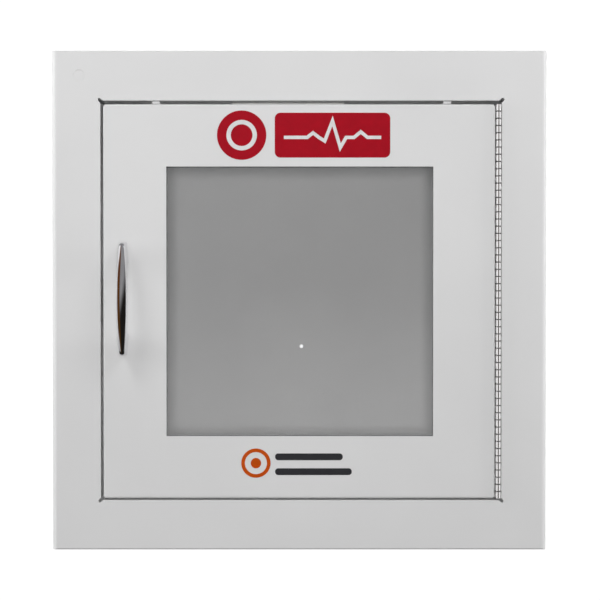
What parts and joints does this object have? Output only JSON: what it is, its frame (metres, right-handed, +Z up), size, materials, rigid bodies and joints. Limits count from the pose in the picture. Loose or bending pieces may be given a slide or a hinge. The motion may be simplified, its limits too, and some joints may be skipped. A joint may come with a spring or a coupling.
{
  "type": "aed wall cabinet",
  "caption": "White steel wall cabinet for an automated external defibrillator, with a hinged windowed door, bow handle, magnetic catch and door alarm.",
  "frame": {"origin": "centre of the back panel's outer face, in the plane of the wall", "axes": "+X to the right as seen from the front, +Y into the wall, +Z up; the door faces -Y"},
  "size_m": [0.438, 0.2063, 0.442],
  "materials": {
    "white_paint": "satin white powder coat",
    "nickel": "bright nickel plate",
    "chrome": "polished chrome plate",
    "zinc": "zinc plate",
    "clear_acrylic": "clear polished sheet",
    "grey_foam": "closed-cell foam tape",
    "white_plastic": "fine moulded texture",
    "black_plastic": "satin moulded",
    "clear_rubber": "clear soft bumper",
    "magnet": "sintered ferrite",
    "circuit_board": "solder mask",
    "battery_wrap": "plain wrapped metal case",
    "red_film": "printed vinyl film",
    "orange_film": "printed vinyl film"
  },
  "bodies": {
    "cabinet": {"front_frame": "white_paint", "top_panel": "white_paint", "bottom_panel": "white_paint", "back_panel": "white_paint", "knockout_slug": "white_paint", "hinge_frame_leaf": "nickel", "hinge_pin": "nickel", "catch_housing": "white_plastic", "catch_magnet": "magnet", "catch_pole_outer": "zinc", "catch_pole_inner": "zinc", "catch_screw_upper": "zinc", "catch_screw_lower": "zinc", "door_stop_upper_left": "white_paint", "door_stop_upper_right": "white_paint", "door_stop_lower_left": "white_paint", "door_stop_lower_right": "white_paint", "door_bumper_upper_left": "clear_rubber", "door_bumper_upper_right": "clear_rubber", "door_bumper_lower_left": "clear_rubber", "door_bumper_lower_right": "clear_rubber", "alarm_base": "white_plastic", "alarm_cover": "white_plastic", "alarm_mount_screw_left": "zinc", "alarm_mount_screw_right": "zinc", "alarm_cover_screw_left": "zinc", "alarm_cover_screw_right": "zinc", "alarm_circuit_board": "circuit_board", "alarm_battery": "battery_wrap", "alarm_siren": "black_plastic", "door_switch_body": "black_plastic", "rocker_bezel": "black_plastic"},
    "door": {"door_panel": "white_paint", "window_gasket": "grey_foam", "window_pane": "clear_acrylic", "window_channel_left": "white_paint", "window_channel_right": "white_paint", "window_channel_bottom": "white_paint", "window_channel_top": "white_paint", "channel_stud_left": "zinc", "channel_stud_right": "zinc", "channel_nut_left": "zinc", "channel_nut_right": "zinc", "hinge_door_leaf": "nickel", "handle": "chrome", "handle_screw_upper": "zinc", "handle_screw_lower": "zinc", "strike_plate": "zinc", "strike_rivet_upper": "zinc", "strike_rivet_lower": "zinc", "upper_label": "red_film", "lower_label": "orange_film"},
    "plunger": {"alarm_plunger": "black_plastic"},
    "rocker": {"alarm_rocker": "black_plastic"}
  },
  "joints": [
    {"name": "door_hinge", "type": "hinge", "parent": "cabinet", "child": "door", "pos_m": [0.17635, -0.178, 0], "axis": [0, 0, 1], "range_deg": [0, 170]},
    {"name": "plunger_travel", "type": "slide", "parent": "cabinet", "child": "plunger", "axis": [0, -1, 0], "range_m": [0, 0.004]},
    {"name": "rocker_pivot", "type": "hinge", "parent": "cabinet", "child": "rocker", "pos_m": [-0.025, -0.1609, 0.1575], "axis": [1, 0, 0], "range_deg": [-20, 0]}
  ],
  "couplings": [
    {"joint": "plunger_travel", "follows": "door_hinge", "m_per_rad": 0.001345}
  ]
}
